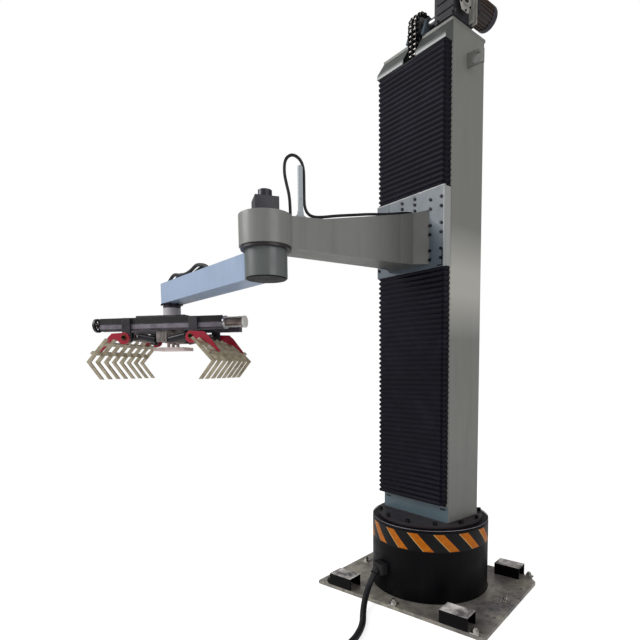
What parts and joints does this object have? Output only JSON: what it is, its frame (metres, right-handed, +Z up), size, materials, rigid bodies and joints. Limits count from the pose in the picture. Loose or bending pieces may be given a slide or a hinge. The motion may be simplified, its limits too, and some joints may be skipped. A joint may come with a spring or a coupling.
{
  "type": "column robot",
  "caption": "Column palletizing robot: turning drum base, tall column with chain-driven carriage, two-part folding arm and two-jaw bag gripper.",
  "frame": {"origin": "on the floor at the ground plate's underside, on the axis about which the column turns", "axes": "+Z up the column; X along the ground plate's long side; -Y towards the side on which the arm stands out"},
  "size_m": [2.2112, 1.726, 3.26],
  "materials": {
    "column_paint": "satin",
    "arm_paint": "satin",
    "carriage_paint": "satin",
    "forearm_paint": "satin",
    "wrist_paint": "satin",
    "drum_paint": "gloss",
    "turntable_steel": "satin",
    "plate_steel": "worn",
    "channel_paint": "satin",
    "bright_bolt": "machined",
    "dark_bolt": "black oxide",
    "machined_steel": "machined",
    "drive_iron": "cast",
    "weight_iron": "cast",
    "motor_paint": "satin",
    "chain_steel": "oiled",
    "bellows_skin": "gloss",
    "beam_aluminium": "anodised",
    "press_cream": "satin",
    "silver_tube": "polished",
    "rod_chrome": "polished",
    "claw_red": "gloss",
    "shaft_steel": "machined",
    "finger_cream": "brushed",
    "wheel_plastic": "moulded",
    "hose_rubber": "matt",
    "fitting_plastic": "moulded"
  },
  "bodies": {
    "base": {"ground_plate": "plate_steel", "fork_channels": "channel_paint", "floor_bolts": "bright_bolt", "base_drum": "drum_paint", "slewing_outer_ring": "machined_steel", "base_drive": "drive_iron", "hose_gland": "fitting_plastic", "supply_hose": "hose_rubber", "supply_hose_coil": "hose_rubber", "supply_plug": "fitting_plastic"},
    "column": {"turntable": "turntable_steel", "turntable_bolts": "dark_bolt", "column_shell": "column_paint", "top_plate": "column_paint", "upper_hood": "column_paint", "bellows_foot": "channel_paint", "lifting_lugs": "column_paint", "linear_rails": "machined_steel", "bellows_upper": "bellows_skin", "bellows_lower": "bellows_skin", "chain_front": "chain_steel", "chain_wrap": "chain_steel", "sprocket_brackets": "carriage_paint", "lift_gearbox": "drive_iron", "lift_motor": "motor_paint"},
    "sprocket": {"drive_sprocket": "machined_steel", "sprocket_shaft": "machined_steel"},
    "counterweight": {"counterweight": "weight_iron", "chain_rear": "chain_steel"},
    "carriage": {"carriage_plate": "carriage_paint", "guide_blocks": "machined_steel", "plate_bolts": "dark_bolt", "chain_anchor": "drive_iron", "upper_arm": "arm_paint", "elbow_reducer": "turntable_steel", "elbow_motor": "motor_paint", "cable_post": "arm_paint", "arm_cable": "hose_rubber"},
    "forearm": {"forearm_beam": "forearm_paint", "hub_cover": "turntable_steel", "forearm_hoses": "hose_rubber", "wrist_reducer": "turntable_steel"},
    "gripper": {"wrist_block": "wrist_paint", "gripper_frame": "beam_aluminium", "claw_brackets": "machined_steel", "adjuster_cylinder": "silver_tube", "press_cylinder": "beam_aluminium", "cylinder_carrier": "beam_aluminium"},
    "handwheel": {"handwheel": "wheel_plastic"},
    "press": {"press_plate": "press_cream"},
    "right_claw": {"right_claw_plates": "claw_red", "right_claw_shaft": "shaft_steel", "right_fingers": "finger_cream"},
    "left_claw": {"left_claw_plates": "claw_red", "left_claw_shaft": "shaft_steel", "left_fingers": "finger_cream"},
    "right_cylinder": {"right_cylinders": "silver_tube"},
    "right_rod": {"right_rods": "rod_chrome"},
    "left_cylinder": {"left_cylinders": "silver_tube"},
    "left_rod": {"left_rods": "rod_chrome"}
  },
  "joints": [
    {"name": "base_turn", "type": "hinge", "parent": "base", "child": "column", "pos_m": [0, 0, 0.43], "axis": [0, 0, 1], "range_deg": [-165, 165]},
    {"name": "lift", "type": "slide", "parent": "column", "child": "carriage", "axis": [0, 0, 1], "range_m": [-1, 0.55], "deforming": ["bellows_upper", "bellows_lower", "chain_front"]},
    {"name": "sprocket_turn", "type": "hinge", "parent": "column", "child": "sprocket", "pos_m": [-0.01832, -0.09424, 3.108], "axis": [0.9816, -0.1908, 0], "range_deg": [-460, 832]},
    {"name": "counterweight_slide", "type": "slide", "parent": "column", "child": "counterweight", "axis": [0, 0, 1], "range_m": [-0.56, 1.01], "deforming": ["chain_rear"]},
    {"name": "elbow", "type": "hinge", "parent": "carriage", "child": "forearm", "pos_m": [-0.2118, -1.08961, 1.8], "axis": [0, 0, 1], "range_deg": [-36, 214]},
    {"name": "wrist", "type": "hinge", "parent": "forearm", "child": "gripper", "pos_m": [-1.22123, -0.91162, 1.654], "axis": [0, 0, 1], "range_deg": [-165, 165]},
    {"name": "handwheel_turn", "type": "hinge", "parent": "gripper", "child": "handwheel", "pos_m": [-1.5296, -1.20923, 1.552], "axis": [0.8829, 0.4695, 0], "continuous": true},
    {"name": "press_slide", "type": "slide", "parent": "gripper", "child": "press", "axis": [0, 0, -1], "range_m": [0, 0.05]},
    {"name": "right_claw_turn", "type": "hinge", "parent": "gripper", "child": "right_claw", "pos_m": [-1.03846, -0.81444, 1.472], "axis": [0.4695, -0.8829, 0], "range_deg": [-20, 30]},
    {"name": "left_claw_turn", "type": "hinge", "parent": "gripper", "child": "left_claw", "pos_m": [-1.404, -1.0088, 1.472], "axis": [-0.4695, 0.8829, 0], "range_deg": [-20.5, 30.5]},
    {"name": "right_cylinder_swing", "type": "hinge", "parent": "gripper", "child": "right_cylinder", "pos_m": [-1.2018, -0.90129, 1.46], "axis": [0.4695, -0.8829, 0], "range_deg": [-2.6, 1.8]},
    {"name": "right_rod_slide", "type": "slide", "parent": "right_cylinder", "child": "right_rod", "axis": [0.8656, 0.4602, 0.1972], "range_m": [-0.0122, 0.0083]},
    {"name": "left_cylinder_swing", "type": "hinge", "parent": "gripper", "child": "left_cylinder", "pos_m": [-1.24065, -0.92195, 1.46], "axis": [-0.4695, 0.8829, 0], "range_deg": [-2.6, 1.8]},
    {"name": "left_rod_slide", "type": "slide", "parent": "left_cylinder", "child": "left_rod", "axis": [-0.8656, -0.4602, 0.1972], "range_m": [-0.0122, 0.0083]}
  ],
  "couplings": [
    {"joint": "sprocket_turn", "follows": "lift", "rad_per_m": -14.472},
    {"joint": "counterweight_slide", "follows": "lift", "ratio": -1},
    {"joint": "left_claw_turn", "follows": "right_claw_turn", "ratio": 1},
    {"joint": "right_cylinder_swing", "follows": "right_claw_turn", "ratio": -0.08},
    {"joint": "left_cylinder_swing", "follows": "right_claw_turn", "ratio": -0.08},
    {"joint": "right_rod_slide", "follows": "right_claw_turn", "m_per_rad": -0.02235},
    {"joint": "left_rod_slide", "follows": "right_claw_turn", "m_per_rad": -0.02235}
  ]
}
